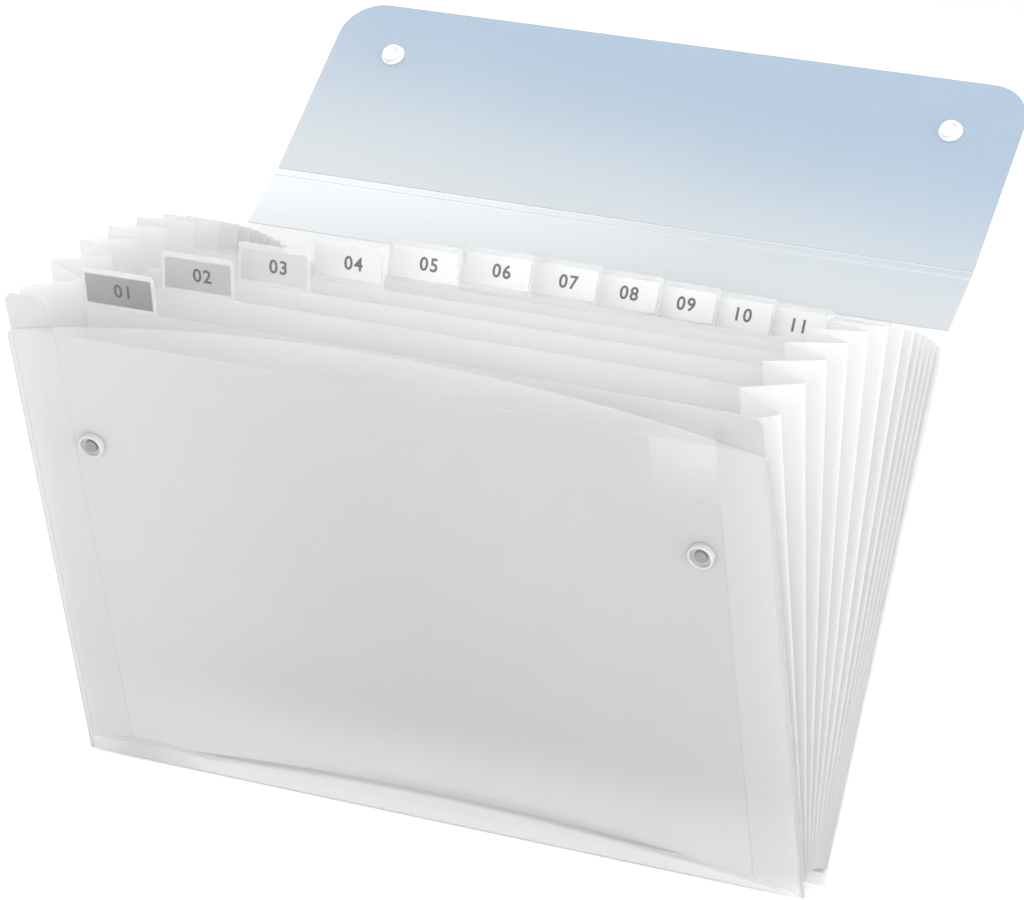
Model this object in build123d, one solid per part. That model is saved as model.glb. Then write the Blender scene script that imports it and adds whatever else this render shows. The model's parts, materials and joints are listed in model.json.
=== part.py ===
# Expanding file: thirteen fanned pockets between two stiff covers, with index tabs and a closing flap.
# Lengths are in millimetres. X runs right, Y runs back and Z runs up from the floor.
# Each sheet is drawn flat in its own frame: X across, Y through the sheet, Z up the sheet from its hinge line.

import math
import os

from build123d import *

# Covers
cover_width = 330.0
cover_height = 238.0
cover_thick = 0.8
front_arch = 13.5
front_corner_radius = 4.0
skirt_drop = 6.0
foot_overrun = 6.0
top_clearance = 1.0

# Fan: lean of every sheet from upright as the file stands open, front cover first, back cover last
sheet_leans_deg = [-28.8, -22.5, -16.8, -11.4, -5.9, 0.0, 5.4, 9.3, 11.7, 13.2, 14.6, 15.9, 17.2, 18.6]
pocket_pitch = 2.25
sheet_thick = 0.3

# Dividers, and the lining inside the front cover
divider_drop = 19.0
lining_drop = 18.0
lining_notch_width = 27.0
lining_notch_depth = 29.0
edge_gap = 0.1

# Pocket floors, each a folded strip on the back of the sheet in front of it
floor_thick = 0.3
floor_clearance = 0.08
floor_lip_height = 3.0

# Folded side gussets, and the flanges that join them to the covers
gusset_reach = 22.0
gusset_thick = 0.25
gusset_drop = 7.5
gusset_foot = 2.0
gusset_seam = 0.02
flange_margin = 1.5
flange_foot = 0.5
flange_corner_radius = 5.0

# Index tabs, their clear sleeves and the label cards inside
tab_width = 33.0
tab_rise = 17.6
tab_corner_radius = 1.5
sleeve_thick = 0.7
sleeve_wall = 0.2
sleeve_border = 1.2
label_height = 14.8
label_thick = 0.25
label_play = 0.3

# Spine band and closing flap
band_lean_deg = 47.2
flap_lean_deg = 39.1
flap_length = 97.5
flap_corner_radius = 19.0
crease_clearance = 0.1
score_offset = 4.0
score_width = 0.6
score_depth = 0.25

# Press studs on the front cover and their sockets on the flap
stud_inset = 31.0
stud_drop = 70.0
stud_base_radius = 5.4
stud_base_thick = 0.6
stud_rim_height = 2.6
stud_rim_thick = 0.9
stud_rim_round = 0.4
stud_radius = 2.8
stud_neck_radius = 2.3
stud_neck_height = 0.5
stud_height = 1.8
stud_dome_radius = 0.8
socket_radius = 5.4
socket_thick = 0.6
socket_edge_radius = 0.3
socket_ring_radius = 4.3
socket_bore_radius = 3.1
snap_play = 0.1
cap_radius = 5.5
cap_thick = 0.7
cap_edge_radius = 0.35

# Values that follow from the ones above
pocket_count = len(sheet_leans_deg) - 1
divider_count = pocket_count - 1
divider_width = cover_width - 2 * gusset_reach
cover_top = cover_height - skirt_drop
front_top = cover_top - top_clearance
cover_low = -skirt_drop - foot_overrun
divider_top = cover_top - divider_drop
lining_top = cover_top - lining_drop
gusset_top = cover_top - gusset_drop
tab_top = divider_top + tab_rise
tab_pitch = (divider_width - tab_width) / (divider_count - 1)
floor_radius = (pocket_pitch - sheet_thick) / 2 - floor_clearance
cover_offset = (sheet_thick + cover_thick) / 2
cover_face = sheet_thick / 2 + cover_thick
closed_gap = stud_rim_height + socket_thick + snap_play
socket_ring_height = closed_gap - socket_thick - stud_base_thick - snap_play
band_length = pocket_count * pocket_pitch + cover_offset + cover_face + cover_thick / 2 + closed_gap
crease_start = cover_thick / 2 + crease_clearance
flange_width = gusset_reach - edge_gap - flange_margin


def up(lean_deg, length):
    # Y and Z of a length measured up a leaning sheet
    angle = math.radians(lean_deg)
    return length * math.sin(angle), length * math.cos(angle)


def through(lean_deg, length):
    # Y and Z of a length measured through a leaning sheet towards its back
    angle = math.radians(lean_deg)
    return length * math.cos(angle), -length * math.sin(angle)


def total(*steps):
    return sum(step[0] for step in steps), sum(step[1] for step in steps)


# Hinge line of each sheet: neighbours turn about a line midway between them
feet = [(0.0, 0.0)]
hinges = []
for near_lean, far_lean in zip(sheet_leans_deg, sheet_leans_deg[1:]):
    hinge = total(feet[-1], through(near_lean, pocket_pitch / 2))
    hinges.append(hinge)
    feet.append(total(hinge, through(far_lean, pocket_pitch / 2)))

front_lean = sheet_leans_deg[0]
back_lean = sheet_leans_deg[-1]
front_foot = total(feet[0], through(front_lean, -cover_offset), up(front_lean, -skirt_drop))
front_edge = total(feet[0], through(front_lean, -cover_face), up(front_lean, front_top))
lower_crease = total(feet[-1], through(back_lean, cover_offset), up(back_lean, cover_top))
upper_crease = total(lower_crease, up(band_lean_deg, band_length))
flap_edge = total(upper_crease, up(flap_lean_deg, flap_length), through(flap_lean_deg, cover_thick / 2))
middle_y = (front_edge[0] + flap_edge[0]) / 2
floor_z = front_foot[1]


def placed(shape, lean_deg, point):
    # Stand a flat-drawn shape up at its lean, with its hinge line on the point
    return Pos(0, point[0] - middle_y, point[1] - floor_z) * Rot(-lean_deg, 0, 0) * shape


def sheet(outline, thick, offset):
    # A flat outline given the sheet's thickness, its middle moved through by the offset
    return Pos(0, offset, 0) * extrude(Plane.XZ * outline, amount=thick / 2, both=True)


def panel(width, low, high, centre_x):
    return Pos(centre_x, (low + high) / 2) * Rectangle(width, high - low)


def round_top(outline, radius):
    return fillet(outline.vertices().group_by(Axis.Y)[-1], radius)


def crease_bead(height):
    # Rounded edge of a cover sheet, on the line it folds about
    return Pos(0, 0, height) * Rot(0, 90, 0) * Cylinder(cover_thick / 2, cover_width)


def forward(shape, x, offset, height):
    # Turn a shape drawn along Z to stand out of the front of a sheet
    return Pos(x, offset, height) * Rot(90, 0, 0) * shape


def both_sides(shape):
    return Compound([shape, mirror(shape, Plane.YZ)])


def on_floor(cover):
    # Trim a cover's foot level with the floor
    return split(cover, bisect_by=Plane.XY, keep=Keep.TOP)


def pocket_floor():
    # Half-round fold about the hinge line, with a lip on the sheet in front
    ring = Circle(floor_radius) - Circle(floor_radius - floor_thick)
    lower_half = Pos(0, -floor_radius / 2) * Rectangle(2 * floor_radius, floor_radius)
    lip_depth = pocket_pitch / 2 - sheet_thick / 2 - floor_radius + floor_thick
    lip_centre = sheet_thick / 2 + lip_depth / 2 - pocket_pitch / 2
    lip = Pos(lip_centre, floor_lip_height / 2) * Rectangle(lip_depth, floor_lip_height)
    profile = Pos(pocket_pitch / 2, 0) * ((ring & lower_half) + lip)
    return extrude(Plane.YZ * profile, amount=divider_width / 2 - edge_gap, both=True)


def tab_x(number):
    return (number - (divider_count + 1) / 2) * tab_pitch


def divider(number):
    body = panel(divider_width, -floor_radius, divider_top, 0)
    tongue_height = tab_rise + tab_corner_radius
    tongue = Pos(tab_x(number), tab_top - tongue_height / 2) * RectangleRounded(
        tab_width, tongue_height, tab_corner_radius
    )
    return Compound([sheet(body + tongue, sheet_thick, 0), pocket_floor()])


def tab_sleeve(number):
    # Clear pouch on the front of a tab, open at the top
    outer = panel(tab_width, divider_top, tab_top, tab_x(number))
    inner = panel(tab_width - 2 * sleeve_border, divider_top + sleeve_border, tab_top, tab_x(number))
    cavity_thick = sleeve_thick - sleeve_wall
    pouch = sheet(outer, sleeve_thick, -(sheet_thick + sleeve_thick) / 2)
    return pouch - sheet(inner, cavity_thick, -(sheet_thick + cavity_thick) / 2)


def label(number):
    low = divider_top + sleeve_border
    card = panel(tab_width - 2 * sleeve_border - 2 * label_play, low, low + label_height, tab_x(number))
    return sheet(card, label_thick, -(sheet_thick + label_thick) / 2)


def gusset_section(height, half_angle, front_seam, back_seam):
    # Corners of one folded gusset across its pocket: two walls that meet at an outer fold
    half_gap = pocket_pitch / 2 / math.cos(half_angle) + height * math.tan(half_angle)
    inner_x = divider_width / 2
    slope = math.atan2(half_gap, gusset_reach)
    wall = gusset_thick / math.cos(slope)
    outer_x = inner_x + gusset_reach
    fold_x = outer_x - gusset_thick / math.sin(slope)
    front = -half_gap + front_seam
    back = half_gap - back_seam
    return {
        "front": (inner_x, front, height),
        "fold": (outer_x, 0, height),
        "back": (inner_x, back, height),
        "back_inside": (inner_x, back - wall, height),
        "fold_inside": (fold_x, 0, height),
        "front_inside": (inner_x, front + wall, height),
    }


def facet(*corners):
    return make_face(Polyline(*corners, close=True))


def gusset(pocket):
    # Each wall is two flat triangles, creased from the foot of its seam to the top of the fold
    half_angle = math.radians(sheet_leans_deg[pocket + 1] - sheet_leans_deg[pocket]) / 2
    front_seam = gusset_seam + (sheet_thick / 2 if pocket == 0 else 0)
    back_seam = gusset_seam + (sheet_thick / 2 if pocket == pocket_count - 1 else 0)
    low = gusset_section(gusset_foot, half_angle, front_seam, back_seam)
    high = gusset_section(gusset_top, half_angle, front_seam, back_seam)
    facets = [facet(*low.values()), facet(*high.values())]
    for seam in ("front", "back"):
        inside = f"{seam}_inside"
        facets.append(facet(low[seam], low[inside], high[inside], high[seam]))
        for edge, fold in ((seam, "fold"), (inside, "fold_inside")):
            facets.append(facet(low[edge], low[fold], high[fold]))
            facets.append(facet(low[edge], high[fold], high[edge]))
    return both_sides(Solid(Shell(facets)))


def flanges(top):
    # Strips that join the gussets to a cover, one at each side, with rounded upper corners
    strip = panel(flange_width, flange_foot, top, divider_width / 2 + edge_gap + flange_width / 2)
    return both_sides(sheet(round_top(strip, flange_corner_radius), sheet_thick, 0))


def front_cover():
    # The top edge is an arc that falls away from the middle to both sides
    side = cover_width / 2
    arc_radius = ((divider_width / 2) ** 2 + front_arch**2) / (2 * front_arch)
    side_top = front_top - arc_radius + math.sqrt(arc_radius**2 - side**2)
    top_edge = ThreePointArc((-side, side_top), (0, front_top), (side, side_top))
    other_edges = Polyline((side, side_top), (side, cover_low), (-side, cover_low), (-side, side_top))
    outline = make_face(top_edge + other_edges)
    return sheet(round_top(outline, front_corner_radius), cover_thick, -cover_offset)


def front_lining():
    outline = panel(divider_width - 2 * edge_gap, -floor_radius, lining_top, 0)
    notch_low = lining_top - lining_notch_depth
    notch = panel(lining_notch_width, notch_low, lining_top, (divider_width - lining_notch_width) / 2)
    return Compound([sheet(outline - notch, sheet_thick, 0), pocket_floor()])


def back_cover():
    flat = sheet(panel(cover_width, cover_low, cover_top, 0), cover_thick, cover_offset)
    return flat + Pos(0, cover_offset, 0) * crease_bead(cover_top)


def score(height):
    # Shallow groove pressed across a cover sheet beside its crease
    groove = panel(cover_width, height - score_width / 2, height + score_width / 2, 0)
    return sheet(groove, score_depth, -(cover_thick - score_depth) / 2)


def spine_band():
    flat = sheet(panel(cover_width, crease_start, band_length, 0), cover_thick, 0)
    return flat + crease_bead(band_length) - score(band_length - score_offset)


def flap():
    outline = round_top(panel(cover_width, crease_start, flap_length, 0), flap_corner_radius)
    return sheet(outline, cover_thick, 0)


def stud_x():
    return cover_width / 2 - stud_inset


def disc(radius, thick):
    return Cylinder(radius, thick, align=(Align.CENTER, Align.CENTER, Align.MIN))


def round_rim(shape, radius):
    # Round the outermost edge at the top of a turned piece
    circles = shape.edges().filter_by(GeomType.CIRCLE).group_by(Axis.Z)[-1]
    return fillet(circles.sort_by(SortBy.RADIUS)[-1], radius)


def stud_bases():
    # Round base with a raised rim about the stud
    base = round_rim(disc(stud_base_radius, stud_rim_height), stud_rim_round)
    recess = disc(stud_base_radius - stud_rim_thick, stud_rim_height)
    base = base - Pos(0, 0, stud_base_thick) * recess
    return both_sides(forward(base, stud_x(), -cover_face, cover_top - stud_drop))


def stud_heads():
    head = round_rim(disc(stud_radius, stud_height - stud_neck_height), stud_dome_radius)
    stud = disc(stud_neck_radius, stud_neck_height) + Pos(0, 0, stud_neck_height) * head
    return both_sides(forward(stud, stud_x(), -cover_face - stud_base_thick, cover_top - stud_drop))


def socket_rings():
    # Plate on the flap with a ring that goes over the stud, inside the rim of its base
    plate = round_rim(disc(socket_radius, socket_thick), socket_edge_radius)
    ring = disc(socket_ring_radius, socket_ring_height) - disc(socket_bore_radius, socket_ring_height)
    socket = plate + Pos(0, 0, socket_thick) * ring
    return both_sides(forward(socket, stud_x(), -cover_thick / 2, stud_drop))


def socket_caps():
    cap = round_rim(disc(cap_radius, cap_thick), cap_edge_radius)
    return both_sides(forward(Rot(180, 0, 0) * cap, stud_x(), cover_thick / 2, stud_drop))


parts = {
    "front_cover": on_floor(placed(front_cover(), front_lean, feet[0])),
    "front_lining": placed(front_lining(), front_lean, feet[0]),
    "front_flanges": placed(flanges(front_top), front_lean, feet[0]),
    "stud_bases": placed(stud_bases(), front_lean, feet[0]),
    "stud_heads": placed(stud_heads(), front_lean, feet[0]),
    "back_cover": on_floor(placed(back_cover(), back_lean, feet[-1])),
    "back_flanges": placed(flanges(gusset_top), back_lean, feet[-1]),
    "spine_band": placed(spine_band(), band_lean_deg, lower_crease),
    "closing_flap": placed(flap(), flap_lean_deg, upper_crease),
    "socket_rings": placed(socket_rings(), flap_lean_deg, upper_crease),
    "socket_caps": placed(socket_caps(), flap_lean_deg, upper_crease),
}
for number in range(1, divider_count + 1):
    lean = sheet_leans_deg[number]
    parts[f"divider_{number:02d}"] = placed(divider(number), lean, feet[number])
    parts[f"tab_sleeve_{number:02d}"] = placed(tab_sleeve(number), lean, feet[number])
    parts[f"label_card_{number:02d}"] = placed(label(number), lean, feet[number])
for pocket in range(pocket_count):
    middle_lean = (sheet_leans_deg[pocket] + sheet_leans_deg[pocket + 1]) / 2
    parts[f"gusset_{pocket + 1:02d}"] = placed(gusset(pocket), middle_lean, hinges[pocket])

os.makedirs("parts", exist_ok=True)
for name, shape in parts.items():
    export_step(shape, f"parts/{name}.step")
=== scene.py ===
import json
import math

import bpy
from mathutils import Matrix, Quaternion, Vector


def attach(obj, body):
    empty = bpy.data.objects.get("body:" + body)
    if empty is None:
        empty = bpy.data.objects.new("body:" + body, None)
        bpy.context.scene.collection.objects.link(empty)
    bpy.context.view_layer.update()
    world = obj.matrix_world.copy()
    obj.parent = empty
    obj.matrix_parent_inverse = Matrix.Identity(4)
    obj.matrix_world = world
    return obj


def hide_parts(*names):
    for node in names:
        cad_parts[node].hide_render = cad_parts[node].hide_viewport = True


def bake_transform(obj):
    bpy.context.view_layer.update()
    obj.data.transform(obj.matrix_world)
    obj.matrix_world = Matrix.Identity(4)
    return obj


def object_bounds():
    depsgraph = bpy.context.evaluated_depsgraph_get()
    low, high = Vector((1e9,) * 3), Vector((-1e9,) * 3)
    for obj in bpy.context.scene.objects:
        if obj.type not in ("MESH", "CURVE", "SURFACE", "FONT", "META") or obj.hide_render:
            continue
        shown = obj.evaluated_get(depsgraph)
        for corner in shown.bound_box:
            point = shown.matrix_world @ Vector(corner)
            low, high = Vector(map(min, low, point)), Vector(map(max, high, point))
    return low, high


bl_info = {
    "name": "Expanding file",
    "version": (1, 0, 0),
    "blender": (4, 5, 0),
    "location": "3D View > Sidebar > File",
    "description": "Dresses a fanned expanding file: sheets, pleats, tabs, snaps and the stage",
    "category": "Object",
}

# Lengths are in metres. X runs right, Y runs back and Z runs up from the floor.
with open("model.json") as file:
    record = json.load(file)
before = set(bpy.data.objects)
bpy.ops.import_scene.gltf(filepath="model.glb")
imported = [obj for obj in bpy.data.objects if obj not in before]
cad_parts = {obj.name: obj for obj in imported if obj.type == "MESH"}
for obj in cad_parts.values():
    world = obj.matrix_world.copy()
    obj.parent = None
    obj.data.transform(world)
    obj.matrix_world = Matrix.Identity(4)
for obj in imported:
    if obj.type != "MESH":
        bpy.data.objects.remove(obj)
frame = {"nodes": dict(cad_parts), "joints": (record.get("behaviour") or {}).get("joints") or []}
cad_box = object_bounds()
nodes_of_file = frame["nodes"]
joints = {joint["name"]: joint for joint in frame["joints"]}


class Leaf:
    """Where a flat sheet stands: its hinge line, and the ways up it and through it."""

    def __init__(self, foot, lean):
        self.foot = Vector((0, foot.y, foot.z))
        self.lean = lean
        self.up = Vector((0, math.sin(lean), math.cos(lean)))
        self.back = Vector((0, math.cos(lean), -math.sin(lean)))

    def point(self, x, height, depth=0.0):
        return self.foot + Vector((x, 0, 0)) + self.up * height + self.back * depth

    def read(self, place):
        step = place - self.foot
        return step.x, step.dot(self.up), step.dot(self.back)

    def extent(self, node):
        """Lowest and highest (x, height, depth) of a CAD node on this sheet."""
        ways = list(zip(*(self.read(v.co) for v in nodes_of_file[node].data.vertices)))
        return [min(way) for way in ways], [max(way) for way in ways]


def lean_of(node):
    """Lean of a flat CAD node from upright, from its largest face."""
    normal = max(nodes_of_file[node].data.polygons, key=lambda face: face.area).normal
    towards_back = normal if normal.y > 0 else -normal
    return math.atan2(-towards_back.z, towards_back.y)


def numbered(stem, number):
    return f"{stem}_{number:02d}"


# The fan, read from the frame: one hinge line a pocket, one leaf a sheet
pocket_count = sum(name.startswith("pocket_") for name in joints)
divider_count = pocket_count - 1
hinges = [Vector(joints[numbered("pocket", n + 1) + "_fold"]["pos_m"]) for n in range(pocket_count)]
sheet_nodes = ["front_lining", *(numbered("divider", n + 1) for n in range(divider_count)), "back_cover"]
leans = [lean_of(node) for node in sheet_nodes]
pitch = (hinges[1] - hinges[0]).length
first = Leaf(hinges[0], leans[0])
leaves = [Leaf(hinges[0] - first.back * (pitch / 2), leans[0])]
for hinge, lean in zip(hinges, leans[1:]):
    leaves.append(Leaf(hinge + Leaf(hinge, lean).back * (pitch / 2), lean))
flap_leaf = Leaf(Vector(joints["flap_fold"]["pos_m"]), lean_of("closing_flap"))

lining_low, lining_high = leaves[0].extent("front_lining")
divider_low, divider_high = leaves[1].extent(numbered("divider", 1))
sleeve_low = leaves[1].extent(numbered("tab_sleeve", 1))[0]
side_x = divider_high[0]
outer_x = cad_box[1].x
divider_top = sleeve_low[1]
tab_top = divider_high[1]
first_pocket = Leaf(hinges[0], (leans[0] + leans[1]) / 2)
gusset_low, gusset_high = first_pocket.extent(numbered("gusset", 1))
flap_length = flap_leaf.extent("closing_flap")[1][1]

# Mesh lines: widest spacing across and up each kind of sheet, or else how many steps it has
LINING_LINES = (0.009, 0.012)
DIVIDER_LINES = (0.012, 0.016)
STRIP_LINES = (0.006, 0.02)
FLOOR_STEPS = (24, 10)
CARD_STEPS = (8, 4)
PLEAT_STEPS = 18

# What counts as one place
SAME_PLACE = 1e-6

# Lining: height at which its arch has died out, height of the shade over its lower edge, and the shares
# of its half width over which that shade comes at the left and goes at the right
LINING_ARCH_FADE = 0.06
LINING_SHADE = 0.0052
SHADE_COMES = (-0.7, 0.1)
SHADE_GOES = (0.6, 0.9)

# Heights over which painted light makes the lining and the strips paler towards the floor, lifting the
# shade there
FOOT_PAINTED_LIGHT = (0.055, 0.002)

# Front cover's foot, from the lining's arch down: where it starts to be dense, where it is fully so,
# how much higher both are at its left end, and the share of its half width at which that end starts
HEM_EDGE = -0.001
HEM_DENSE = -0.004
HEM_LIFT = 0.006
LEFT_END = -0.7

# Painted highlight lines along the creases: the score's distance from the crease, and the half width of a
# line and of its fade
SCORE_PLACE = 0.004
CREASE_INNER = 0.0004
CREASE_OUTER = 0.0009

# Other small sizes, and the shares that shape the pleats and the dividers
STRIP_CORNER = 0.0055
SLEEVE_WALL = 0.0002
SLEEVE_ROUND = 0.00025
INK_THICK = 0.00001
FLOOR_DROP = 0.0006
PLEAT_CROWN = 0.14
BELLY_TURN = 0.9

# Which of a sheet's materials a face takes
FACE, EDGE, BACK = range(3)


def length(name, description, default):
    return bpy.props.FloatProperty(name=name, description=description, default=default, unit="LENGTH")


def colour(name, description, default):
    return bpy.props.FloatVectorProperty(
        name=name, description=description, default=default, size=3, min=0, max=1, subtype="COLOR")


class FileSizes(bpy.types.PropertyGroup):
    sheet_thick: length("Sheet thickness", "Thickness of the lining, dividers and strips", 0.0003)
    gusset_thick: length("Gusset thickness", "Thickness of the folded side strips", 0.00025)
    seam_gap: length("Seam gap", "Gap between sheets that are welded together", 0.00005)
    lining_arch: length("Lining arch", "Rise of the lining's lower edge at its middle", 0.0095)
    notch_width: length("Notch width", "Width of the corner cut from the lining", 0.027)
    notch_depth: length("Notch depth", "Depth of the corner cut from the lining", 0.029)
    sheet_bow: length("Divider bow", "How far the dividers belly out of flat", 0.0012)
    corner_radius: length("Corner radius", "Radius of the dividers' and tabs' corners", 0.0015)
    floor_thick: length("Floor thickness", "Thickness of the folded strip under each pocket", 0.0003)
    floor_gap: length("Floor gap", "Gap between a pocket's floor and the sheets beside it", 0.00008)
    floor_lip: length("Floor lip", "Height of the floor's lip on the sheet in front", 0.003)
    ear_radius: length("Strip corner radius", "Radius of the side strips' upper corners", 0.005)
    card_trim: length("Card trim", "How far a card stops short of its sleeve's top and foot", 0.0008)
    number_height: length("Number height", "Height of the numbers on the label cards", 0.008)
    number_weight: length("Number weight", "How much the strokes of the numbers are thickened", 0.00016)


class FileColours(bpy.types.PropertyGroup):
    cover: colour("Cover", "Frosted front and back covers", (0.95, 0.95, 0.95))
    # Painted shade: the front cover greyer above its lining, where the pocket behind it is in shade.
    cover_rim_shade: colour(
        "Cover rim", "Greyer tone of the front cover above its lining", (0.78, 0.78, 0.783))
    cover_corner: colour(
        "Cover corner", "Greyer tone of the front cover's foot at its left end", (0.78, 0.78, 0.783))
    lining: colour("Lining", "Sheet inside the front cover", (0.47, 0.47, 0.473))
    lining_left: colour(
        "Lining, left end", "Paler tone of the lining towards its left edge", (0.62, 0.62, 0.623))
    # Painted shade in the fold along the lining's lower edge.
    lining_fold_shade: colour(
        "Lining fold", "Shade in the fold along the lining's lower edge", (0.58, 0.58, 0.583))
    # Painted light: a paler tone that lifts the shade on the lining and strips near the floor.
    foot: colour(
        "Foot", "Paler tone of the lining and its strips towards the floor", (0.78, 0.78, 0.783))
    strip: colour(
        "Right side strip", "Strip that joins the gussets to a cover, at its right", (0.53, 0.53, 0.533))
    strip_left: colour(
        "Left side strip", "The strip at the left, and the front cover's margin", (0.62, 0.62, 0.623))
    divider: colour("Dividers", "Thin frosted dividers", (0.98, 0.98, 0.98))
    gusset: colour("Gussets", "Folded side strips", (0.88, 0.88, 0.88))
    cut_edge: colour("Cut edges", "Edges of the sheets, where light gathers", (0.97, 0.97, 0.97))
    flap_grey: colour("Flap by the crease", "Colour of the flap by the band", (0.66, 0.70, 0.72))
    flap_blue: colour("Flap at the edge", "Colour of the flap at its free edge", (0.38, 0.50, 0.63))
    # Painted highlight: pale lines along the flap's creases.
    crease: colour("Creases", "Whitened plastic along the creases of the flap", (0.74, 0.77, 0.79))
    sleeve: colour("Sleeves", "Clear sleeves on the tabs", (0.95, 0.95, 0.95))
    # Painted shade: the first card darkest, the later cards paler towards the last card's tone.
    card_shaded: colour("First card", "Grey of the first label card", (0.34, 0.345, 0.355))
    card_light: colour("Last card", "Grey of the last label card", (0.97, 0.97, 0.97))
    number_ink: colour("Numbers", "Ink of the numbers on the cards", (0.13, 0.13, 0.135))
    stud: colour("Studs", "Grey plastic of the press studs", (0.3, 0.3, 0.305))
    stud_cup: colour("Stud cups", "Grey plastic of the cups about the studs", (0.8, 0.8, 0.803))
    socket: colour("Sockets", "White plastic of the sockets on the flap", (0.9, 0.91, 0.91))


class FileStage(bpy.types.PropertyGroup):
    azimuth: bpy.props.FloatProperty(
        name="Azimuth", description="Turn of the camera to the right of the front",
        default=math.radians(22.7363), subtype="ANGLE")
    elevation: bpy.props.FloatProperty(
        name="Elevation", description="Height of the camera above level",
        default=math.radians(8.9685), subtype="ANGLE")
    roll: bpy.props.FloatProperty(
        name="Roll", description="Turn of the camera about its own axis",
        default=math.radians(6.1613), subtype="ANGLE")
    distance: length("Distance", "Camera to the point it looks at", 1.765327)
    target: bpy.props.FloatVectorProperty(
        name="Target", description="Point the camera looks at",
        default=(0.0012524, 0.0, 0.1542381), size=3, subtype="TRANSLATION")
    lens: bpy.props.FloatProperty(
        name="Lens", description="Focal length on a 36 mm sensor, in millimetres",
        default=147.3826)
    room_light: bpy.props.FloatProperty(
        name="Room light", description="Strength of the white surroundings on the object",
        default=1.0, subtype="FACTOR")
    floor_colour: colour("Floor", "Colour of the pale floor", (0.97, 0.97, 0.97))


# Making meshes

def steps(low, high, count):
    """Evenly spaced places from low to high."""
    return [low + (high - low) * k / count for k in range(count + 1)]


def lines_between(marks, spacing):
    """Places that include every mark, with no gap wider than the spacing."""
    marks = sorted(marks)
    places = [marks[0]]
    for low, high in zip(marks, marks[1:]):
        if high - low > SAME_PLACE:
            places += steps(low, high, max(1, math.ceil((high - low) / spacing)))[1:]
    return places


def pick_only(obj):
    bpy.ops.object.select_all(action="DESELECT")
    obj.select_set(True)
    bpy.context.view_layer.objects.active = obj


def apply_modifier(obj, kind, **settings):
    pick_only(obj)
    modifier = obj.modifiers.new(kind.title(), kind)
    for name, value in settings.items():
        setattr(modifier, name, value)
    bpy.ops.object.modifier_apply(modifier=modifier.name)


def edit_parts(obj, mode, wanted):
    """Open the mesh for editing with the wanted vertices or faces selected."""
    pick_only(obj)
    bpy.ops.object.mode_set(mode="EDIT")
    bpy.ops.mesh.select_mode(type=mode)
    bpy.ops.mesh.select_all(action="DESELECT")
    bpy.ops.object.mode_set(mode="OBJECT")
    parts = {"VERT": obj.data.vertices, "FACE": obj.data.polygons}[mode]
    for part in parts:
        part.select = wanted(part)
    if not any(part.select for part in parts):
        raise RuntimeError(f"Nothing to work on in {obj.name}")
    bpy.ops.object.mode_set(mode="EDIT")


def flat_grid(name, xs, heights):
    """A grid on the given lines, flat on X and Y."""
    bpy.ops.object.select_all(action="DESELECT")
    bpy.ops.mesh.primitive_grid_add(
        x_subdivisions=len(xs) - 1, y_subdivisions=len(heights) - 1, size=1, location=(0, 0, 0))
    obj = bpy.context.object
    obj.name = name
    obj.data.name = name
    for v in obj.data.vertices:
        column = round((v.co.x + 0.5) * (len(xs) - 1))
        row = round((v.co.y + 0.5) * (len(heights) - 1))
        v.co = (xs[column], heights[row], 0)
    return obj


def cut_away(obj, outside):
    """Delete the faces whose middle is outside the outline, and the vertices left over."""
    edit_parts(obj, "FACE", lambda face: outside(face.center.x, face.center.y))
    bpy.ops.mesh.delete(type="FACE")
    bpy.ops.mesh.select_all(action="SELECT")
    bpy.ops.mesh.delete_loose()
    bpy.ops.object.mode_set(mode="OBJECT")


def round_corners(obj, corners, radius):
    """Bevel the vertices that stand on the given corners."""
    def on_corner(v):
        return any(max(abs(v.co.x - x), abs(v.co.y - y)) < SAME_PLACE for x, y in corners)

    edit_parts(obj, "VERT", on_corner)
    bpy.ops.mesh.bevel(affect="VERTICES", offset=radius, segments=6, profile=0.5, clamp_overlap=False)
    bpy.ops.object.mode_set(mode="OBJECT")


def lay_uv(obj):
    """UV in metres across and up the flat sheet."""
    layer = obj.data.uv_layers.active or obj.data.uv_layers.new(name="UVMap")
    for loop in obj.data.loops:
        place = obj.data.vertices[loop.vertex_index].co
        layer.data[loop.index].uv = (place.x, place.y)


def thicken(obj, thick):
    apply_modifier(obj, "SOLIDIFY", thickness=thick, offset=0, use_rim=True, material_offset_rim=EDGE)


def stand_up(obj, leaf, depth_at):
    """Move a flat sheet to its leaf, at the depth that the function gives for a place on it."""
    for v in obj.data.vertices:
        x, height, out = v.co
        v.co = leaf.point(x, height, depth_at(x, height) - out)
    obj.data.update()


def soften(obj, angle_deg=35):
    pick_only(obj)
    bpy.ops.object.shade_smooth_by_angle(angle=math.radians(angle_deg))


def join(name, pieces):
    bpy.ops.object.select_all(action="DESELECT")
    for piece in pieces:
        piece.select_set(True)
    bpy.context.view_layer.objects.active = pieces[0]
    bpy.ops.object.join()
    pieces[0].name = name
    pieces[0].data.name = name
    return pieces[0]


def dress(obj, *materials):
    obj.data.materials.clear()
    for material in materials:
        obj.data.materials.append(material)


def finish_piece(obj, body, replaced):
    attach(obj, body)
    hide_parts(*replaced)


# Finishes

def socket(group, name, way, kind, default=None):
    made = group.interface.new_socket(name=name, in_out=way, socket_type=kind)
    if default is not None:
        made.default_value = default
    return made


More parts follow.
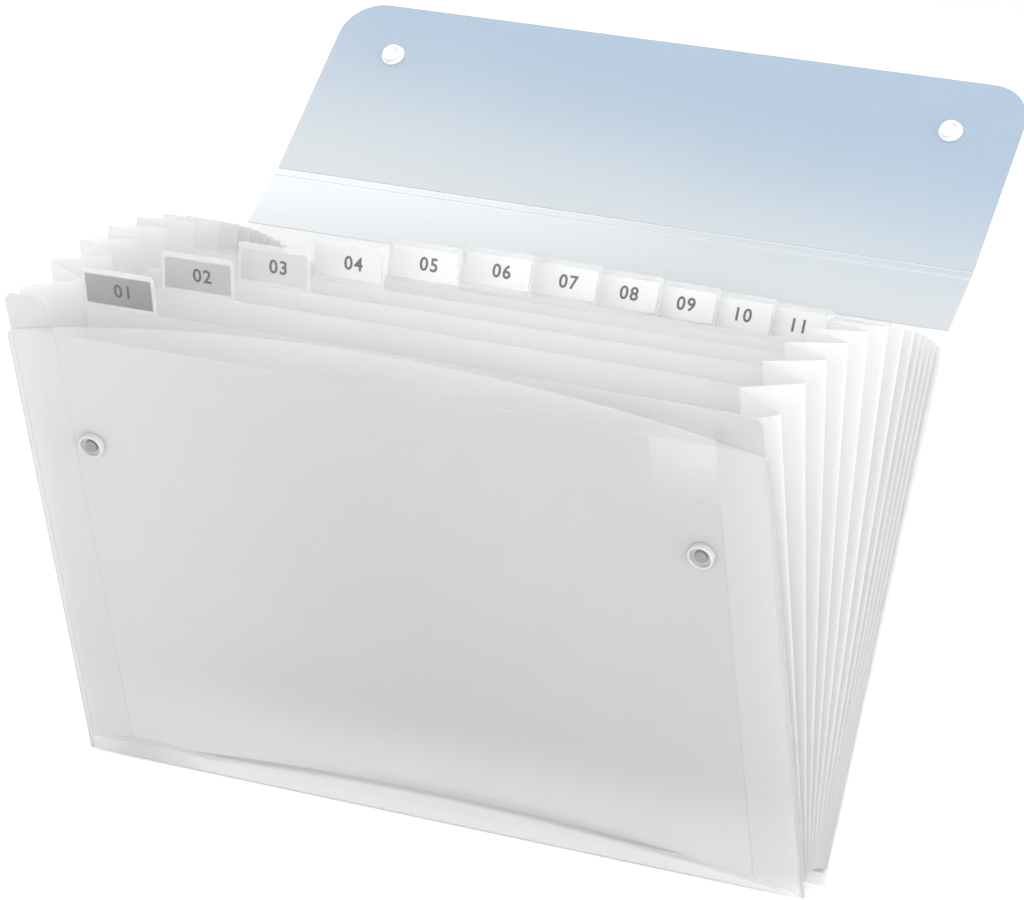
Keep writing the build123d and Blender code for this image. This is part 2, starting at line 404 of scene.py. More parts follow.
def frosted_grain():
    """Cloudy tone, uneven polish and a fine pebbled face, as on frosted sheet plastic."""
    name = "Frosted grain"
    if name in bpy.data.node_groups:
        return bpy.data.node_groups[name]
    group = bpy.data.node_groups.new(name, "ShaderNodeTree")
    socket(group, "Vector", "INPUT", "NodeSocketVector")
    socket(group, "Colour", "INPUT", "NodeSocketColor", (0.8, 0.8, 0.8, 1))
    socket(group, "Cloud", "INPUT", "NodeSocketFloat", 0.06)
    socket(group, "Roughness", "INPUT", "NodeSocketFloat", 0.4)
    socket(group, "Colour", "OUTPUT", "NodeSocketColor")
    socket(group, "Roughness", "OUTPUT", "NodeSocketFloat")
    socket(group, "Height", "OUTPUT", "NodeSocketFloat")
    nodes, links = group.nodes, group.links
    inside = nodes.new("NodeGroupInput")
    outside = nodes.new("NodeGroupOutput")
    clouds_per_metre, grains_per_metre, polish_swing = 14, 1500, 0.06
    cloud = nodes.new("ShaderNodeTexNoise")
    grain = nodes.new("ShaderNodeTexNoise")
    for texture, scale, detail in ((cloud, clouds_per_metre, 1), (grain, grains_per_metre, 0)):
        texture.inputs["Scale"].default_value = scale
        texture.inputs["Detail"].default_value = detail
        links.new(inside.outputs["Vector"], texture.inputs["Vector"])
    drop = nodes.new("ShaderNodeMath")
    drop.operation = "MULTIPLY"
    links.new(cloud.outputs["Fac"], drop.inputs[0])
    links.new(inside.outputs["Cloud"], drop.inputs[1])
    tone = nodes.new("ShaderNodeMath")
    tone.operation = "SUBTRACT"
    tone.inputs[0].default_value = 1
    links.new(drop.outputs[0], tone.inputs[1])
    shade = nodes.new("ShaderNodeMix")
    shade.data_type = "RGBA"
    shade.blend_type = "MULTIPLY"
    shade.inputs["Factor"].default_value = 1
    links.new(inside.outputs["Colour"], shade.inputs["A"])
    links.new(tone.outputs[0], shade.inputs["B"])
    links.new(shade.outputs["Result"], outside.inputs["Colour"])
    polish = nodes.new("ShaderNodeMapRange")
    polish.inputs["To Min"].default_value = -polish_swing
    polish.inputs["To Max"].default_value = polish_swing
    links.new(grain.outputs["Fac"], polish.inputs["Value"])
    rough = nodes.new("ShaderNodeMath")
    rough.operation = "ADD"
    rough.use_clamp = True
    links.new(inside.outputs["Roughness"], rough.inputs[0])
    links.new(polish.outputs["Result"], rough.inputs[1])
    links.new(rough.outputs[0], outside.inputs["Roughness"])
    links.new(grain.outputs["Fac"], outside.inputs["Height"])
    return group


class Finish:
    """A material whose face is frosted grain over a colour."""

    refraction = 1.49
    milk_depth = 0.0012
    grain_depth = 0.00002
    grain_strength = 0.4

    def __init__(self, name, colour, rough, alpha=1.0, cloud=0.06, milky=0.0):
        self.material = bpy.data.materials.new(name)
        self.material.use_nodes = True
        self.nodes = self.material.node_tree.nodes
        self.links = self.material.node_tree.links
        self.shader = self.nodes["Principled BSDF"]
        self.shader.inputs["Alpha"].default_value = alpha
        self.shader.inputs["IOR"].default_value = self.refraction
        self.shader.inputs["Subsurface Weight"].default_value = milky
        self.shader.inputs["Subsurface Radius"].default_value = (1, 1, 1)
        self.shader.inputs["Subsurface Scale"].default_value = self.milk_depth
        self.place = self.nodes.new("ShaderNodeTexCoord")
        self.grain = self.nodes.new("ShaderNodeGroup")
        self.grain.node_tree = frosted_grain()
        self.grain.inputs["Colour"].default_value = (*colour, 1)
        self.grain.inputs["Cloud"].default_value = cloud
        self.grain.inputs["Roughness"].default_value = rough
        self.links.new(self.place.outputs["Object"], self.grain.inputs["Vector"])
        self.links.new(self.grain.outputs["Colour"], self.shader.inputs["Base Color"])
        self.links.new(self.grain.outputs["Roughness"], self.shader.inputs["Roughness"])
        bump = self.nodes.new("ShaderNodeBump")
        bump.inputs["Strength"].default_value = self.grain_strength
        bump.inputs["Distance"].default_value = self.grain_depth
        self.links.new(self.grain.outputs["Height"], bump.inputs["Height"])
        self.links.new(bump.outputs["Normal"], self.shader.inputs["Normal"])

    def node(self, kind, **values):
        made = self.nodes.new(kind)
        for name, value in values.items():
            setattr(made, name, value)
        return made

    def math(self, operation, *values):
        made = self.node("ShaderNodeMath", operation=operation)
        for place, value in enumerate(values):
            if isinstance(value, (int, float)):
                made.inputs[place].default_value = value
            else:
                self.links.new(value, made.inputs[place])
        return made.outputs[0]

    def across(self, layer):
        """Sides of a place on the surface, from Object coordinates or from UV."""
        made = self.node("ShaderNodeSeparateXYZ")
        self.links.new(self.place.outputs[layer], made.inputs[0])
        return made.outputs

    def paint(self, colour):
        """Take the colour under the grain from a node's output."""
        self.links.new(colour, self.grain.inputs["Colour"])

    def ramp(self, value, start, end):
        """Smooth run from nothing at the start to one at the end, whichever is the greater."""
        low, high = sorted((start, end))
        made = self.node("ShaderNodeMapRange", interpolation_type="SMOOTHSTEP")
        made.inputs["From Min"].default_value = low
        made.inputs["From Max"].default_value = high
        made.inputs["To Min"].default_value = 0 if start < end else 1
        made.inputs["To Max"].default_value = 1 if start < end else 0
        self.links.new(value, made.inputs["Value"])
        return made.outputs["Result"]

    def blend(self, first, second, share):
        """One colour run into another by a share; each is a plain colour or a node's output."""
        made = self.node("ShaderNodeMix", data_type="RGBA")
        for name, colour in (("A", first), ("B", second)):
            if isinstance(colour, bpy.types.NodeSocket):
                self.links.new(colour, made.inputs[name])
            else:
                made.inputs[name].default_value = (*colour, 1)
        self.links.new(share, made.inputs["Factor"])
        return made.outputs["Result"]


def cut_edge(colours):
    """White edge of a cut sheet, shared by every sheet."""
    name = "cut_edge"
    if name in bpy.data.materials:
        return bpy.data.materials[name]
    return Finish(name, colours.cut_edge, rough=0.35, alpha=0.15, cloud=0.03).material


def arch_share(finish, x):
    """Height of an arch over a sheet's width: one at its middle and nothing at its sides."""
    span = finish.math("DIVIDE", x, side_x)
    return finish.math("SUBTRACT", 1, finish.math("MULTIPLY", span, span))


def cover_finish(colours, sizes):
    """Frosted sheet with painted shade above the lining, denser along its foot and its sides."""
    clear, dense = 0.24, 0.62
    finish = Finish("cover_frost", colours.cover, rough=0.36, cloud=0.03)
    x = finish.across("Object")["X"]
    climb = finish.node("ShaderNodeVectorMath", operation="DOT_PRODUCT")
    climb.inputs[1].default_value = leaves[0].up
    finish.links.new(finish.place.outputs["Object"], climb.inputs[0])
    height = finish.math("SUBTRACT", climb.outputs["Value"], leaves[0].foot.dot(leaves[0].up))
    arch = finish.math("MULTIPLY", arch_share(finish, x), sizes.lining_arch)
    left_end = finish.ramp(x, LEFT_END * side_x, -side_x)
    lift = finish.math("MULTIPLY", left_end, HEM_LIFT)
    below = finish.math("SUBTRACT", finish.math("SUBTRACT", height, arch), lift)
    hem = finish.ramp(below, HEM_EDGE, HEM_DENSE)
    strip_end = leaves[0].extent("front_flanges")[1][0]
    margin = finish.ramp(finish.math("ABSOLUTE", x), strip_end - 0.001, strip_end + 0.0005)
    border = finish.math("MAXIMUM", hem, margin)
    alpha = finish.math("ADD", finish.math("MULTIPLY", border, dense - clear), clear)
    finish.links.new(alpha, finish.shader.inputs["Alpha"])
    # Painted shade: greyer above the lining's top edge.
    rim = finish.ramp(height, lining_high[1] - 0.001, lining_high[1] + 0.002)
    tone = finish.blend(colours.cover, colours.cover_rim_shade, rim)
    tone = finish.blend(tone, colours.cover_corner, finish.math("MULTIPLY", hem, left_end))
    finish.paint(finish.blend(tone, colours.strip_left, margin))
    return finish.material


def lining_finish(colours):
    """Greyer sheet, paler towards its left end, with painted light towards its foot and painted shade in a
    fold along its arched lower edge.
    """
    finish = Finish("lining_frost", colours.lining, rough=0.5, alpha=0.8, cloud=0.05)
    place = finish.across("UV")
    shade = finish.math("MULTIPLY", arch_share(finish, place["X"]), LINING_SHADE)
    least_shade = 0.0002
    share = finish.math("DIVIDE", place["Y"], finish.math("ADD", shade, least_shade))
    comes, comes_full = (part * side_x for part in SHADE_COMES)
    goes, gone = (part * side_x for part in SHADE_GOES)
    ends = finish.math(
        "MULTIPLY", finish.ramp(place["X"], comes, comes_full), finish.ramp(place["X"], gone, goes))
    # Painted shade in the fold along the lower edge, fading out towards both ends.
    fold = finish.math("MULTIPLY", finish.ramp(share, 1.4, 0.2), ends)
    tone = finish.blend(colours.lining, colours.lining_left, finish.ramp(place["X"], 0, -side_x))
    # Painted light: paler towards the foot, lifting the shade near the floor.
    tone = finish.blend(tone, colours.foot, finish.ramp(place["Y"], *FOOT_PAINTED_LIGHT))
    finish.paint(finish.blend(tone, colours.lining_fold_shade, fold))
    return finish.material


def strip_finish(colours):
    """Milky strips, greyer at the right, with painted light paler at the foot, as on the lining."""
    name = "strip_frost"
    if name in bpy.data.materials:
        return bpy.data.materials[name]
    finish = Finish(name, colours.strip, rough=0.4, alpha=0.85, cloud=0.03, milky=1.0)
    place = finish.across("UV")
    tone = finish.blend(colours.strip_left, colours.strip, finish.ramp(place["X"], -side_x, side_x))
    # Painted light: paler towards the foot, lifting the shade near the floor.
    finish.paint(finish.blend(tone, colours.foot, finish.ramp(place["Y"], *FOOT_PAINTED_LIGHT)))
    return finish.material


def sheet_finish(colours):
    """Milky, half-clear dividers."""
    name = "divider_frost"
    if name in bpy.data.materials:
        return bpy.data.materials[name]
    return Finish(name, colours.divider, rough=0.42, alpha=0.4, cloud=0.02, milky=1.0).material


def flap_finish(name, colours, rough, creases):
    """Frosted sheet that runs from grey to pale blue at its free edge, with painted highlight lines along
    its creases.
    """
    finish = Finish(name, colours.flap_blue, rough, alpha=0.72, cloud=0.05)
    from_crease = finish.node("ShaderNodeVectorMath", operation="SUBTRACT")
    from_crease.inputs[1].default_value = flap_leaf.foot
    finish.links.new(finish.place.outputs["Object"], from_crease.inputs[0])
    bluer_to_right = Vector((1.3, 0, 0))
    along = finish.node("ShaderNodeVectorMath", operation="DOT_PRODUCT")
    along.inputs[1].default_value = flap_leaf.up / flap_length + bluer_to_right
    finish.links.new(from_crease.outputs[0], along.inputs[0])
    blueness = finish.ramp(along.outputs["Value"], -0.25, 0.85)
    colour = finish.blend(colours.flap_grey, colours.flap_blue, blueness)
    upright = finish.node("ShaderNodeVectorMath", operation="MULTIPLY")
    upright.inputs[1].default_value = (0, 1, 1)
    finish.links.new(from_crease.outputs[0], upright.inputs[0])
    away = finish.node("ShaderNodeVectorMath", operation="LENGTH")
    finish.links.new(upright.outputs[0], away.inputs[0])
    # Painted highlight lines along the creases.
    for place in creases:
        apart = finish.math("ABSOLUTE", finish.math("SUBTRACT", away.outputs["Value"], place))
        colour = finish.blend(colour, colours.crease, finish.ramp(apart, CREASE_OUTER, CREASE_INNER))
    finish.paint(colour)
    return finish.material


def card_finish(number, left, right, colours):
    """Card with painted shade: darkest on the first tab, paler on each tab to the fifth, and paler towards
    its left end.
    """
    steps_to_white, ease, left_paler = 3.4, 0.9, 0.12
    # Painted shade: the card's grey steps from the first card's tone towards the last card's, and darkens
    # towards its right end.
    share = min(1.0, (number - 1) / steps_to_white) ** ease
    tone = [a + (b - a) * share for a, b in zip(colours.card_shaded, colours.card_light)]
    pale = [a + (b - a) * left_paler for a, b in zip(tone, colours.card_light)]
    finish = Finish(numbered("card_grey", number), tone, rough=0.3, cloud=0.08)
    finish.paint(finish.blend(pale, tone, finish.ramp(finish.across("UV")["X"], left, right)))
    return finish.material


# Pieces

class FOLDER_OT_front(bpy.types.Operator):
    """Dress the front cover, and make its lining and the strips beside it"""
    bl_idname = "folder.front"
    bl_label = "Front cover and lining"

    def execute(self, context):
        sizes, colours = context.scene.file_sizes, context.scene.file_colours
        leaf = leaves[0]
        dress(nodes_of_file["front_cover"], cover_finish(colours, sizes))
        low_x, high_x = lining_low[0], lining_high[0]
        top = lining_high[1]
        notch_x, notch_z = high_x - sizes.notch_width, top - sizes.notch_depth
        lining = flat_grid(
            "lining_sheet", lines_between([low_x, notch_x, high_x], LINING_LINES[0]),
            lines_between([0, notch_z, top], LINING_LINES[1]))
        cut_away(lining, lambda x, z: x > notch_x and z > notch_z)
        round_corners(lining, [(low_x, top), (notch_x, top), (high_x, notch_z)], sizes.corner_radius)
        lay_uv(lining)
        for v in lining.data.vertices:
            rise = sizes.lining_arch * (1 - (v.co.x / side_x) ** 2)
            v.co.y += rise * max(0.0, 1 - v.co.y / LINING_ARCH_FADE)
        thicken(lining, sizes.sheet_thick)
        for face in lining.data.polygons:
            if face.normal.z < -0.5:
                face.material_index = BACK
        lining = join("lining_sheet", [lining, pocket_floor(sizes)])
        stand_up(lining, leaf, lambda x, z: sizes.seam_gap)
        soften(lining)
        dress(lining, lining_finish(colours), cut_edge(colours), sheet_finish(colours))
        finish_piece(lining, "front_cover", ["front_lining"])
        strips(leaf, "front", sizes, colours, sizes.seam_gap)
        return {"FINISHED"}


def strips(leaf, which, sizes, colours, depth):
    """The strips that join the gussets to a cover, one at each side."""
    node = f"{which}_flanges"
    low, high = leaf.extent(node)
    inner = min(abs(leaf.read(v.co)[0]) for v in nodes_of_file[node].data.vertices)
    made = []
    for side in (-1, 1):
        near, far = sorted((side * inner, side * high[0]))
        strip = flat_grid(
            "strip", lines_between([near, near + STRIP_CORNER, far - STRIP_CORNER, far], STRIP_LINES[0]),
            lines_between([low[1], high[1] - STRIP_CORNER, high[1]], STRIP_LINES[1]))
        round_corners(strip, [(near, high[1]), (far, high[1])], sizes.ear_radius)
        lay_uv(strip)
        thicken(strip, sizes.sheet_thick)
        stand_up(strip, leaf, lambda x, z: depth)
        made.append(strip)
    both = join(f"{which}_strips", made)
    soften(both)
    dress(both, strip_finish(colours), cut_edge(colours))
    finish_piece(both, f"{which}_cover", [node])


def pocket_floor(sizes):
    """The folded strip under a pocket: a lip on the sheet in front and a half-round fold behind it."""
    reach = lining_high[0]
    near = sizes.sheet_thick / 2 + sizes.floor_gap + sizes.floor_thick / 2
    radius = pitch / 2 - near
    columns, fold_steps = FLOOR_STEPS
    turns = steps(-math.pi, 0, fold_steps)
    obj = flat_grid("floor", steps(-reach, reach, columns), [*turns, sizes.floor_lip])
    for v in obj.data.vertices:
        turn = min(v.co.y, 0)
        v.co.y = max(v.co.y, 0) + radius * math.sin(turn)
        v.co.z = radius * math.cos(turn) - pitch / 2
    lay_uv(obj)
    thicken(obj, sizes.floor_thick)
    for face in obj.data.polygons:
        face.material_index = BACK
    return obj


class FOLDER_OT_dividers(bpy.types.Operator):
    """Make the twelve dividers, each with its tab in its own place and a gentle belly"""
    bl_idname = "folder.dividers"
    bl_label = "Dividers"

    def execute(self, context):
        sizes, colours = context.scene.file_sizes, context.scene.file_colours
        face = sheet_finish(colours)
        for number in range(1, divider_count + 1):
            node = numbered("divider", number)
            leaf = leaves[number]
            tab_low, tab_high = leaf.extent(numbered("tab_sleeve", number))
            marks = [-side_x, tab_low[0], tab_high[0], side_x]
            sheet = flat_grid(
                numbered("divider_sheet", number), lines_between(marks, DIVIDER_LINES[0]),
                lines_between([divider_low[1], divider_top, tab_top], DIVIDER_LINES[1]))
            cut_away(sheet, lambda x, z: z > divider_top and not tab_low[0] < x < tab_high[0])
            round_corners(
                sheet, [(tab_low[0], tab_top), (tab_high[0], tab_top), (-side_x, divider_top),
                        (side_x, divider_top)], sizes.corner_radius)
            lay_uv(sheet)
            thicken(sheet, sizes.sheet_thick)
            sheet = join(sheet.name, [sheet, pocket_floor(sizes)])
            stand_up(sheet, leaf, lambda x, z: belly(number, x, z, sizes))
            soften(sheet)
            dress(sheet, face, cut_edge(colours), face)
            finish_piece(sheet, node, [node])
        return {"FINISHED"}


def belly(number, x, height, sizes):
    """How far a divider stands out of flat: nothing at its sides and foot, and much as its neighbours."""
    swing = math.sin(number * BELLY_TURN)
    across = 1 - (x / side_x) ** 2
    up = math.sin(min(1.0, max(0.0, height) / divider_top) * math.pi / 2)
    return sizes.sheet_bow * swing * across * up


class FOLDER_OT_tabs(bpy.types.Operator):
    """Make the clear sleeves, the label cards in them and the numbers on the cards"""
    bl_idname = "folder.tabs"
    bl_label = "Tabs, cards and numbers"

    def execute(self, context):
        sizes, colours = context.scene.file_sizes, context.scene.file_colours
        clear = Finish("sleeve_clear", colours.sleeve, rough=0.1, alpha=0.05, cloud=0.02).material
        ink = Finish("number_ink", colours.number_ink, rough=0.5, cloud=0.2).material
        for number in range(1, divider_count + 1):
            body = numbered("divider", number)
            leaf = leaves[number]
            node = numbered("tab_sleeve", number)
            low, high = leaf.extent(node)
            pouch = sleeve(numbered("clear_sleeve", number), leaf, low, high, number, sizes)
            dress(pouch, clear)
            finish_piece(pouch, body, [node])
            node = numbered("label_card", number)
            low, high = leaf.extent(node)
            low[1] += sizes.card_trim
            high[1] -= sizes.card_trim
            paper = card(numbered("card", number), leaf, low, high, number, sizes)
            dress(paper, card_finish(number, low[0], high[0], colours))
            finish_piece(paper, body, [node])
            mark = number_mesh(number, leaf, low, high, sizes)
            dress(mark, ink)
            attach(mark, body)
        return {"FINISHED"}


def sleeve(name, leaf, low, high, number, sizes):
    """A pouch open at its top and welded to the tab at its back."""
    bpy.ops.object.select_all(action="DESELECT")
    bpy.ops.mesh.primitive_cube_add(size=1, location=(0, 0, 0))
    obj = bpy.context.object
    obj.name = name
    obj.data.name = name
    gap = sizes.seam_gap
    for v in obj.data.vertices:
        v.co.x = high[0] if v.co.x > 0 else low[0]
        v.co.y = high[1] if v.co.y > 0 else low[1]
        v.co.z = -low[2] if v.co.z > 0 else -(high[2] - gap)
    edit_parts(obj, "FACE", lambda face: face.normal.y > 0.5 or face.normal.z < -0.5)
    bpy.ops.mesh.delete(type="FACE")
    bpy.ops.object.mode_set(mode="OBJECT")
    apply_modifier(obj, "BEVEL", width=SLEEVE_ROUND, segments=3, limit_method="ANGLE")
    apply_modifier(obj, "SOLIDIFY", thickness=SLEEVE_WALL, offset=-1, use_even_offset=True)
    lay_uv(obj)
    stand_up(obj, leaf, lambda x, z: belly(number, x, z, sizes))
    soften(obj)
    return obj


def card(name, leaf, low, high, number, sizes):
    """A card with a slight curl, free in its sleeve."""
    obj = flat_grid(
        name, steps(low[0], high[0], CARD_STEPS[0]), steps(low[1], high[1], CARD_STEPS[1]))
    lay_uv(obj)
    thicken(obj, high[2] - low[2] - 2 * sizes.seam_gap)
    middle = (low[2] + high[2]) / 2
    stand_up(obj, leaf, lambda x, z: middle + belly(number, x, z, sizes))
    soften(obj)
    return obj


def number_mesh(number, leaf, low, high, sizes):
    """A number drawn as a flat mesh on the face of its card."""
    bpy.ops.object.select_all(action="DESELECT")
    bpy.ops.object.text_add(location=(0, 0, 0))
    obj = bpy.context.object
    obj.data.body = f"{number:02d}"
    obj.data.align_x = "CENTER"
    obj.data.align_y = "CENTER"
    obj.data.size = sizes.number_height
    obj.data.space_character = 1.15
    obj.data.extrude = INK_THICK
    obj.data.offset = sizes.number_weight
    obj.data.resolution_u = 5
    pick_only(obj)
    bpy.ops.object.convert(target="MESH")
    obj = bpy.context.object
    obj.name = numbered("number", number)
    obj.data.name = obj.name
    share_across = 0.57
    middle_x = low[0] + (high[0] - low[0]) * share_across
    middle_z = (low[1] + high[1]) / 2
    for v in obj.data.vertices:
        v.co.x += middle_x
        v.co.y += middle_z
    lay_uv(obj)
    stand_up(obj, leaf, lambda x, z: low[2] - INK_THICK + belly(number, x, z, sizes))
    return obj


class FOLDER_OT_gussets(bpy.types.Operator):
    """Make the thirteen pleats that close the pockets' sides"""
    bl_idname = "folder.gussets"
    bl_label = "Gussets"

    def execute(self, context):
        sizes, colours = context.scene.file_sizes, context.scene.file_colours
        face = Finish("gusset_frost", colours.gusset, rough=0.4, alpha=0.7, cloud=0.02, milky=1.0).material
        for pocket in range(pocket_count):
            sides = [pleat(pocket, side, sizes) for side in (-1, 1)]
            piece = join(numbered("pleat", pocket + 1), sides)
            soften(piece, angle_deg=50)
            dress(piece, face, cut_edge(colours))
            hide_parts(numbered("gusset", pocket + 1))
            spread(piece, pocket)
        return {"FINISHED"}


def pocket_point(pocket, x, height, share):
    """A place in a pocket: the share runs from the sheet in front to the sheet behind."""
    lean = leans[pocket] + share * (leans[pocket + 1] - leans[pocket])
    return Leaf(hinges[pocket], lean).point(x, height, (share - 0.5) * pitch)


def pleat(pocket, side, sizes):
    """One folded strip, with a rounded fold on its outer edge."""
    places = [-1, -0.97, -0.9, -0.75, -0.6, -0.45, -0.3, -0.2, -0.12, -0.06, 0]
    places += [-place for place in reversed(places[:-1])]
    obj = flat_grid("pleat", places, steps(gusset_low[1], gusset_high[1], PLEAT_STEPS))
    lay_uv(obj)
    full = math.sqrt(1 + PLEAT_CROWN**2)
    turn = leans[pocket + 1] - leans[pocket]
    first_gap = sizes.sheet_thick / 2 if pocket == 0 else 0
    last_gap = sizes.sheet_thick / 2 if pocket == pocket_count - 1 else 0
    for v in obj.data.vertices:
        across, height, _ = v.co
        reach = (full - math.sqrt(across**2 + PLEAT_CROWN**2)) / (full - PLEAT_CROWN)
        gap = pitch + height * turn
        front = (sizes.gusset_thick + first_gap) / gap
        back = (sizes.gusset_thick + last_gap) / gap
        share = front + (across + 1) / 2 * (1 - front - back)
        x = side_x + (outer_x - side_x - sizes.gusset_thick) * reach
        v.co = pocket_point(pocket, side * x, height, share)
    thicken(obj, sizes.gusset_thick)
    return obj


def spread(piece, pocket):
    """Bake the pleat's place into its mesh, and work out each point's share of the way across its pocket,
    which is not kept.
    """
    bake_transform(piece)
    turn = leans[pocket + 1] - leans[pocket]
    rounds = 4
    for v in piece.data.vertices:
        share = 0.5
        for _ in range(rounds):
            leaf = Leaf(hinges[pocket], leans[pocket] + share * turn)
            _, height, depth = leaf.read(v.co)
            share += (depth - (share - 0.5) * pitch) / (pitch + max(height, 0) * turn)


class FOLDER_OT_back(bpy.types.Operator):
    """Dress the back cover, the spine band and the closing flap"""
    bl_idname = "folder.back"
    bl_label = "Back cover, band and flap"

    def execute(self, context):
        sizes, colours = context.scene.file_sizes, context.scene.file_colours
        back = Finish("back_frost", colours.cover, rough=0.36, alpha=0.55, cloud=0.05).material
        band = flap_finish("band_frost", colours, rough=0.16, creases=[0, SCORE_PLACE])
        flap = flap_finish("flap_frost", colours, rough=0.24, creases=[0])
        dress(nodes_of_file["back_cover"], back)
        dress(nodes_of_file["spine_band"], band)
        dress(nodes_of_file["closing_flap"], flap)
        strips(leaves[-1], "back", sizes, colours, -sizes.seam_gap)
        return {"FINISHED"}


class FOLDER_OT_snaps(bpy.types.Operator):
    """Dress the press studs on the front and the sockets on the flap"""
    bl_idname = "folder.snaps"
    bl_label = "Press studs and sockets"

    def execute(self, context):
        colours = context.scene.file_colours
        stud = Finish("stud_grey", colours.stud, rough=0.25, cloud=0.1).material
        base = Finish("stud_base", colours.stud_cup, rough=0.25, alpha=0.75, cloud=0.08).material
        white = Finish("socket_white", colours.socket, rough=0.45, cloud=0.04).material
        dress(nodes_of_file["stud_heads"], stud)
        dress(nodes_of_file["stud_bases"], base)
        dress(nodes_of_file["socket_rings"], white)
        dress(nodes_of_file["socket_caps"], white)
        return {"FINISHED"}


# Stage

# Soft lamps: place, target, width and height in metres, power in watts, roll in degrees
LAMPS = {
    "front_lamp": {
        "place": (0.3, -2.4, 0.3), "target": (0, 0, 0.08), "width": 2.4, "height": 0.6, "power": 10},
    "side_lamp": {
        "place": (2.0, -0.8, 0.25), "target": (0.1, 0, 0.08), "width": 1.4, "height": 0.5, "power": 11},
    "top_lamp": {
        "place": (0.7, -0.5, 1.5), "target": (0.05, 0.05, 0.2), "width": 0.9, "height": 0.8, "power": 3.4},
    "band_lamp": {
        "place": (-0.716, 0.092, 1.453), "target": (-0.08, 0.08, 0.24), "width": 0.15, "height": 0.45,
        "power": 1.6, "roll_deg": 10.5},
}


def soft_lamp(name, place, target, width, height, power, roll_deg=0.0):
    bpy.ops.object.light_add(type="AREA", location=place)
    lamp = bpy.context.object
    lamp.name = name
    lamp.data.shape = "RECTANGLE"
    lamp.data.size = width
    lamp.data.size_y = height
    lamp.data.energy = power
    aim = (Vector(target) - Vector(place)).to_track_quat("-Z", "Y")
    lamp.rotation_euler = (aim @ Quaternion((0, 0, 1), math.radians(roll_deg))).to_euler()
    lamp.visible_camera = False


def seen_white(tree, strength_seen):
    """Strength for what the camera or a reflection looks at. Its To Min takes what lights the object."""
    path = tree.nodes.new("ShaderNodeLightPath")
    seen = path.outputs["Is Camera Ray"]
    for ray in ("Is Transmission Ray", "Is Glossy Ray"):
        either = tree.nodes.new("ShaderNodeMath")
        either.operation = "MAXIMUM"
        tree.links.new(seen, either.inputs[0])
        tree.links.new(path.outputs[ray], either.inputs[1])
        seen = either.outputs[0]
    strength = tree.nodes.new("ShaderNodeMapRange")
    strength.inputs["To Min"].default_value = 0
    strength.inputs["To Max"].default_value = strength_seen
    tree.links.new(seen, strength.inputs["Value"])
    return strength


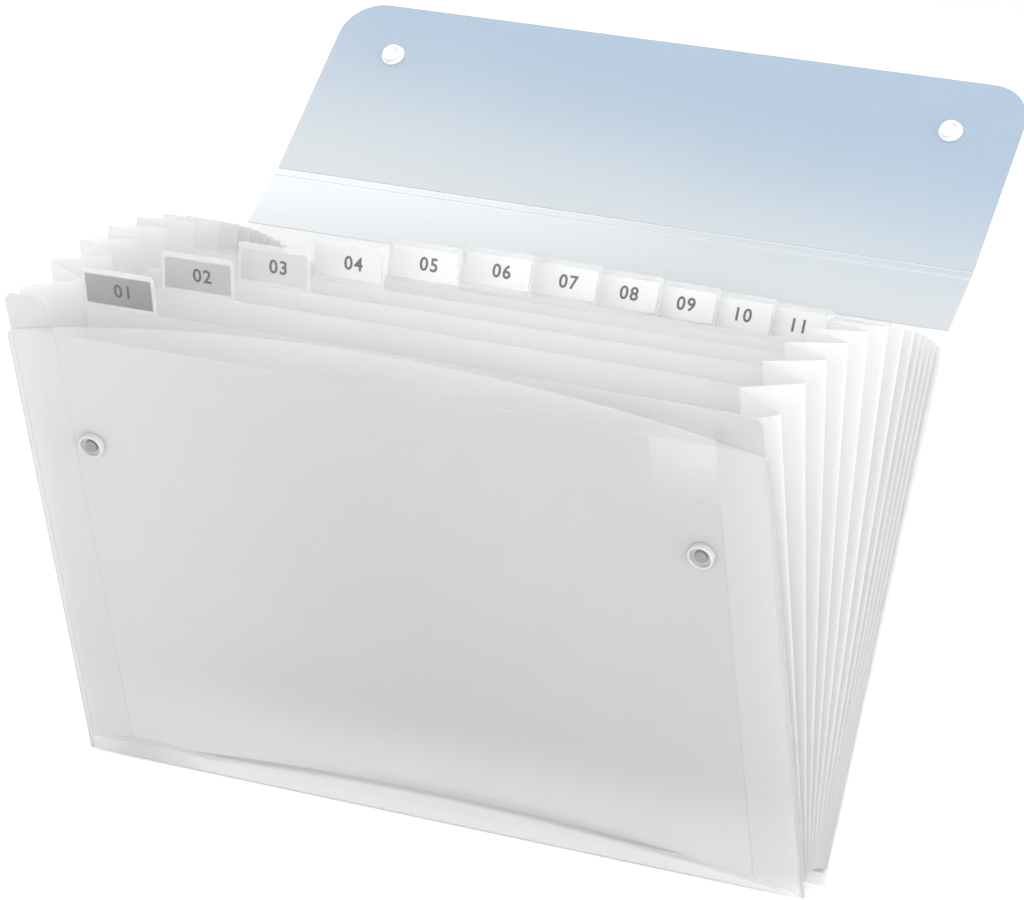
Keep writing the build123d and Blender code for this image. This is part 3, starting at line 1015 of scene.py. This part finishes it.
class FOLDER_OT_stage(bpy.types.Operator):
    """Make the pale floor, the soft lamps, the white surroundings and the camera"""
    bl_idname = "folder.stage"
    bl_label = "Stage"

    def execute(self, context):
        stage = context.scene.file_stage
        context.scene.view_settings.view_transform = "Standard"
        context.scene.cycles.transparent_max_bounces = 16
        context.scene.cycles.diffuse_bounces = 8
        self.room(context, stage)
        self.floor(stage)
        for name, settings in LAMPS.items():
            soft_lamp(name, **settings)
        self.camera(context, stage)
        return {"FINISHED"}

    def room(self, context, stage):
        """White surroundings, which light the object a little more from its right."""
        left_share, right_share = 0.8, 1.1
        world = bpy.data.worlds.new("white_room")
        context.scene.world = world
        world.use_nodes = True
        nodes, links = world.node_tree.nodes, world.node_tree.links
        surround = nodes["Background"]
        surround.inputs["Color"].default_value = (1, 1, 1, 1)
        way = nodes.new("ShaderNodeSeparateXYZ")
        links.new(nodes.new("ShaderNodeTexCoord").outputs["Generated"], way.inputs[0])
        side = nodes.new("ShaderNodeMapRange")
        side.inputs["From Min"].default_value = -1
        side.inputs["To Min"].default_value = stage.room_light * left_share
        side.inputs["To Max"].default_value = stage.room_light * right_share
        links.new(way.outputs["X"], side.inputs["Value"])
        strength = seen_white(world.node_tree, strength_seen=1.0)
        links.new(side.outputs["Result"], strength.inputs["To Min"])
        links.new(strength.outputs["Result"], surround.inputs["Strength"])

    def floor(self, stage):
        bpy.ops.object.select_all(action="DESELECT")
        bpy.ops.mesh.primitive_circle_add(
            vertices=96, radius=9, fill_type="NGON", location=(0, 0, -FLOOR_DROP))
        floor = bpy.context.object
        floor.name = "pale_floor"
        finish = Finish("floor_pale", stage.floor_colour, rough=0.6, cloud=0.02)
        finish.shader.inputs["Emission Color"].default_value = (1, 1, 1, 1)
        glow = seen_white(finish.material.node_tree, strength_seen=0.3)
        finish.links.new(glow.outputs["Result"], finish.shader.inputs["Emission Strength"])
        dress(floor, finish.material)

    def camera(self, context, stage):
        sin, cos = math.sin, math.cos
        az, el, roll = stage.azimuth, stage.elevation, stage.roll
        back = Vector((sin(az) * cos(el), -cos(az) * cos(el), sin(el)))
        level = Vector((cos(az), sin(az), 0))
        upright = back.cross(level)
        right = level * cos(roll) + upright * sin(roll)
        up = upright * cos(roll) - level * sin(roll)
        bpy.ops.object.camera_add(location=(0, 0, 0))
        camera = bpy.context.object
        camera.data.sensor_width = 36
        camera.data.lens = stage.lens
        turn = Matrix((right, up, back)).transposed().to_4x4()
        camera.matrix_world = Matrix.Translation(Vector(stage.target) + back * stage.distance) @ turn
        context.scene.camera = camera


class FOLDER_PT_pieces(bpy.types.Panel):
    """Lists the file's pieces in the order they are made"""
    bl_idname = "FOLDER_PT_pieces"
    bl_label = "Expanding file"
    bl_space_type = "VIEW_3D"
    bl_region_type = "UI"
    bl_category = "File"

    def draw(self, context):
        for operator in operators:
            self.layout.operator(operator.bl_idname)


operators = (
    FOLDER_OT_front, FOLDER_OT_dividers, FOLDER_OT_tabs, FOLDER_OT_gussets, FOLDER_OT_back,
    FOLDER_OT_snaps, FOLDER_OT_stage)
classes = (FileSizes, FileColours, FileStage, *operators, FOLDER_PT_pieces)


def register():
    for made in classes:
        bpy.utils.register_class(made)
    bpy.types.Scene.file_sizes = bpy.props.PointerProperty(type=FileSizes)
    bpy.types.Scene.file_colours = bpy.props.PointerProperty(type=FileColours)
    bpy.types.Scene.file_stage = bpy.props.PointerProperty(type=FileStage)


def unregister():
    del bpy.types.Scene.file_stage
    del bpy.types.Scene.file_colours
    del bpy.types.Scene.file_sizes
    for made in reversed(classes):
        bpy.utils.unregister_class(made)


def main():
    register()
    bpy.ops.folder.front()
    bpy.ops.folder.dividers()
    bpy.ops.folder.tabs()
    bpy.ops.folder.gussets()
    bpy.ops.folder.back()
    bpy.ops.folder.snaps()
    bpy.ops.folder.stage()
    bpy.context.view_layer.update()


if __name__ == "__main__":
    main()
